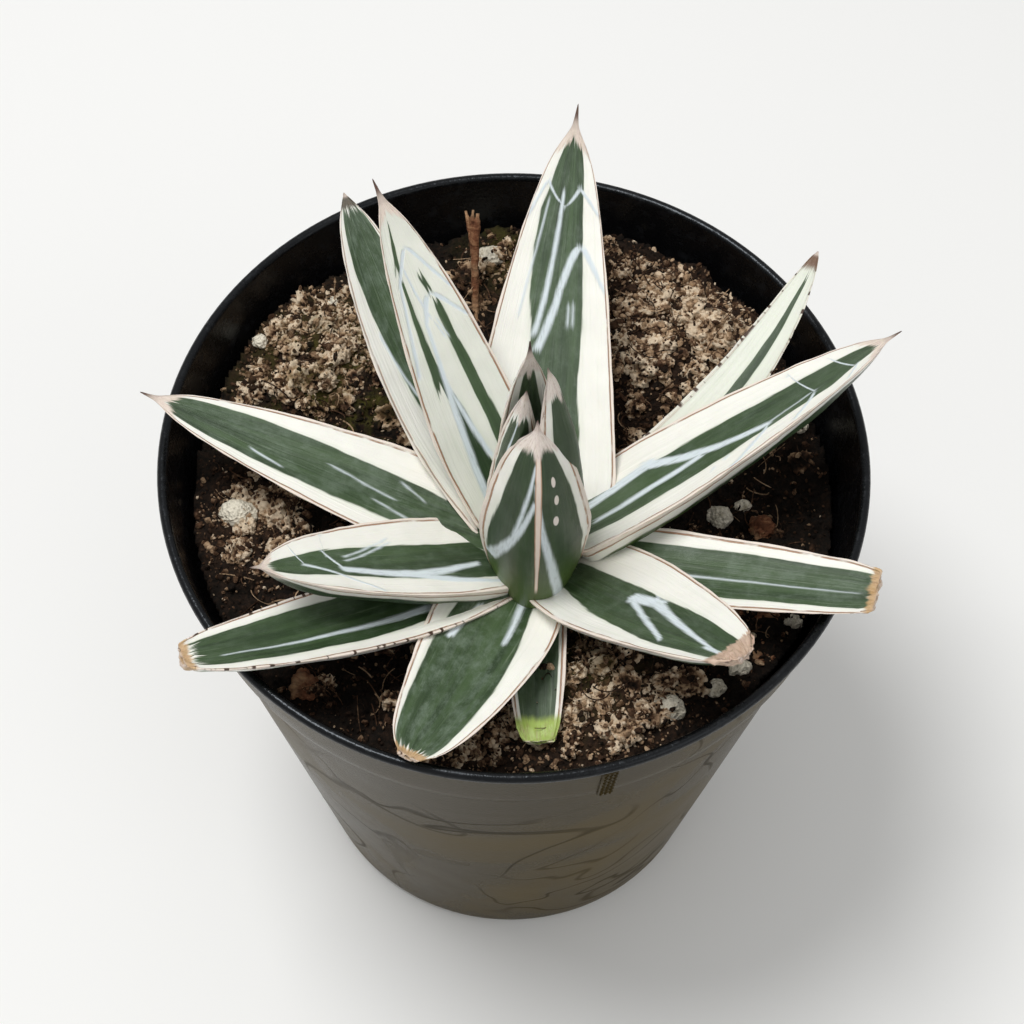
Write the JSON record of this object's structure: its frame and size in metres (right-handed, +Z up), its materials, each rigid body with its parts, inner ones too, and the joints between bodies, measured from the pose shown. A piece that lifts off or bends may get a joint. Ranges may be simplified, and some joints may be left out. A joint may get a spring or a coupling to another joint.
{
  "type": "potted agave",
  "caption": "Small variegated agave rosette with cream-edged, spine-tipped leaves, growing in potting mix in a round tapered plastic nursery pot with a collar and a rolled rim.",
  "frame": {"origin": "centre of the flat middle of the pot's underside, on the surface that the pot stands on", "axes": "+Z up, along the pot's axis; -Y towards the front, from which the rosette is seen; +X to the right"},
  "size_m": [0.1131, 0.108, 0.151],
  "materials": {
    "pot": "thin glossy plastic, near black with a brown cast",
    "soil": "crumbly brown potting mix",
    "leaf": "firm satin leaf, dark green with cream margins",
    "stem": "dull corky stem",
    "perlite": "chalky off-white grains",
    "bark": "dry fibrous bark"
  },
  "bodies": {
    "root": {"pot": "pot", "soil": "soil", "stem": "stem", "heart_back": "leaf", "heart_right": "leaf", "heart_left": "leaf", "heart_front": "leaf", "leaf_back_left": "leaf", "leaf_front_left": "leaf", "leaf_right": "leaf", "leaf_back": "leaf", "leaf_front_right": "leaf", "leaf_left": "leaf", "leaf_far_left": "leaf", "leaf_far_right": "leaf", "leaf_low_front": "leaf", "leaf_low_left": "leaf", "leaf_low_right": "leaf", "leaf_stub": "leaf", "perlite_1": "perlite", "perlite_2": "perlite", "perlite_3": "perlite", "perlite_4": "perlite", "perlite_5": "perlite", "perlite_6": "perlite", "perlite_7": "perlite", "perlite_8": "perlite", "perlite_9": "perlite", "perlite_10": "perlite", "perlite_11": "perlite", "perlite_12": "perlite", "perlite_13": "perlite", "perlite_14": "perlite", "bark_1": "bark", "bark_2": "bark", "bark_3": "bark", "bark_4": "bark", "bark_5": "bark", "twig": "bark"}
  },
  "joints": []
}
